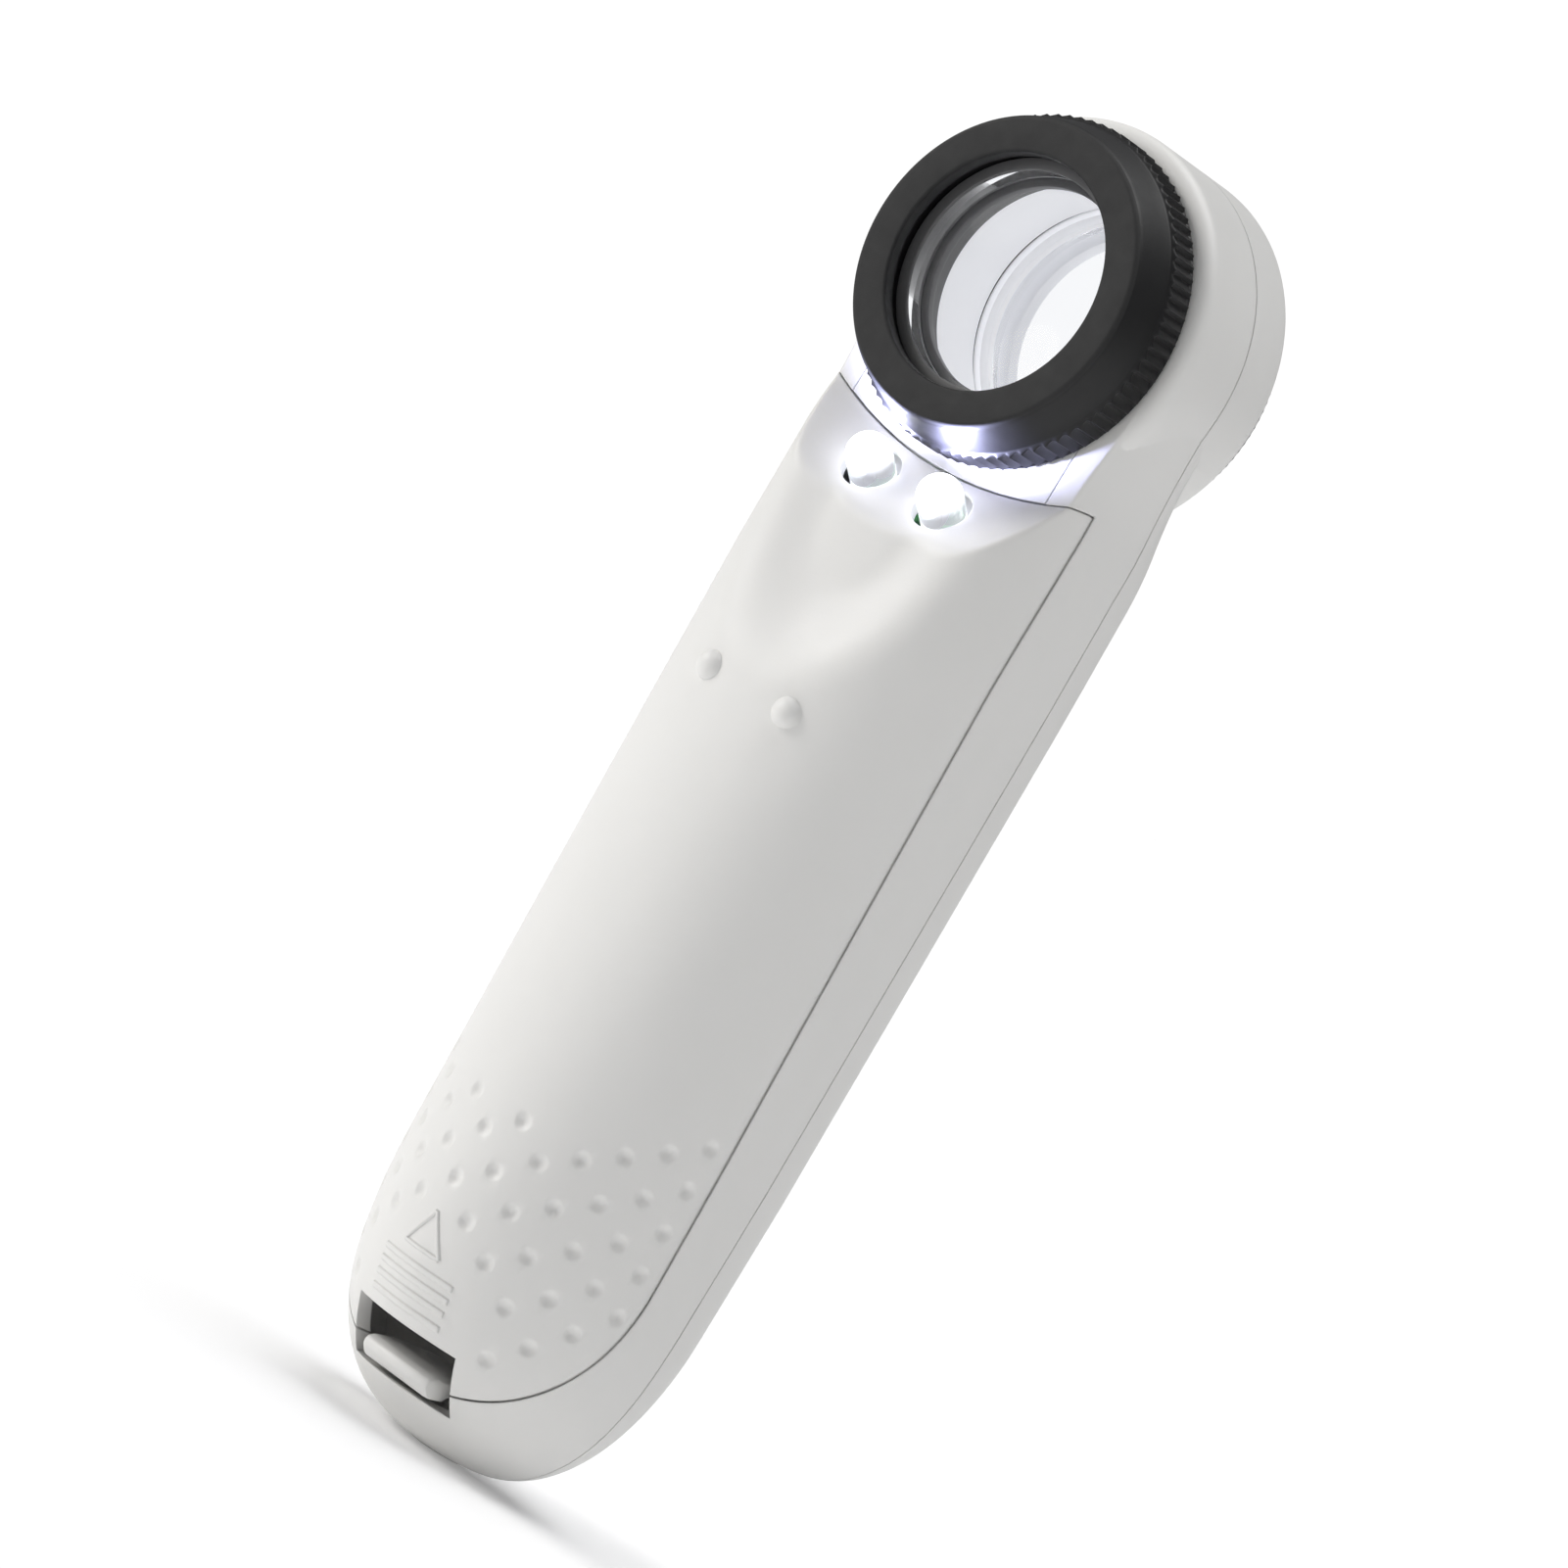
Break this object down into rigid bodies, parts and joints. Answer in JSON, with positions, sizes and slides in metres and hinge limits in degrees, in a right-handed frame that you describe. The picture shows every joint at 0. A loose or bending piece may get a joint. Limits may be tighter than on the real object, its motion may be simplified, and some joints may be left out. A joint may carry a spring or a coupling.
{
  "type": "low vision magnifier",
  "caption": "Slim white illuminated hand magnifier: round head with a black knurled focusing barrel, LEDs under the lens and a long battery handle with a snap-in cover.",
  "frame": {"origin": "under the middle of the bounding box, on the plane that touches the rounded tail of the handle", "axes": "+Z runs along the handle from the tail to the round head; the lens axis is parallel to Y and the barrel, LEDs and battery cover face -Y; +X is to the right when the lens faces the viewer, and the object is symmetric about X = 0"},
  "size_m": [0.0412, 0.0346, 0.1562],
  "materials": {
    "white_shell": "fine matte moulded ABS",
    "white_chassis": "smooth satin moulded ABS",
    "black_barrel": "fine matte moulded plastic",
    "black_cell": "matte black",
    "black_knob": "matte moulded plastic",
    "optical_glass": "polished clear",
    "led_clear": "clear epoxy dome, lit cool white",
    "circuit_board": "green solder mask",
    "resistor_body": "beige lacquer with colour bands",
    "switch_metal": "folded tinned can",
    "battery_jacket": "plain printed film jacket with steel ends",
    "spring_steel": "drawn wire",
    "contact_metal": "nickel plated strip",
    "screw_steel": "zinc plated",
    "lead_red": "PVC insulation",
    "lead_black": "PVC insulation",
    "lead_white": "PVC insulation"
  },
  "bodies": {
    "handle": {"front_shell": "white_shell", "back_shell": "white_shell", "chassis": "white_chassis", "rear_lens": "optical_glass", "eyepiece_ring": "black_barrel", "rear_lens_clip": "black_cell", "led_left": "led_clear", "led_right": "led_clear", "led_board": "circuit_board", "resistor": "resistor_body", "switch_body": "switch_metal", "battery_left": "battery_jacket", "battery_right": "battery_jacket", "spring_left": "spring_steel", "spring_right": "spring_steel", "contact_link": "contact_metal", "terminal_positive": "contact_metal", "terminal_negative": "contact_metal", "lead_red": "lead_red", "lead_black": "lead_black", "lead_switch": "lead_white", "screw_1": "screw_steel", "screw_2": "screw_steel", "screw_3": "screw_steel", "screw_4": "screw_steel"},
    "focus_barrel": {"focus_barrel": "black_barrel", "barrel_clip": "spring_steel"},
    "lens_cell": {"lens_cell": "black_cell", "lens_retainer": "black_cell", "front_lens": "optical_glass"},
    "battery_cover": {"battery_cover": "white_shell"},
    "cover_latch": {"cover_latch": "white_shell"},
    "switch_knob": {"switch_knob": "black_knob"}
  },
  "joints": [
    {"name": "focus_turn", "type": "hinge", "parent": "handle", "child": "focus_barrel", "pos_m": [0, -0.0093, 0.1356], "axis": [0, -1, 0], "range_deg": [-135, 135]},
    {"name": "lens_travel", "type": "slide", "parent": "handle", "child": "lens_cell", "axis": [0, -1, 0], "range_m": [-0.0013, 0.0013]},
    {"name": "cover_tilt", "type": "hinge", "parent": "handle", "child": "battery_cover", "pos_m": [0, -0.0083, 0.1194], "axis": [-1, 0, 0], "range_deg": [0, 30]},
    {"name": "latch_press", "type": "hinge", "parent": "handle", "child": "cover_latch", "pos_m": [0, 0.0052, 0.0074], "axis": [-1, 0, 0], "range_deg": [0, 4.5], "stiffness_Nm_per_rad": 0.4},
    {"name": "switch_slide", "type": "slide", "parent": "handle", "child": "switch_knob", "axis": [0, 0, 1], "range_m": [0, 0.003]}
  ],
  "couplings": [
    {"joint": "lens_travel", "follows": "focus_turn", "m_per_rad": 0.0005093}
  ]
}
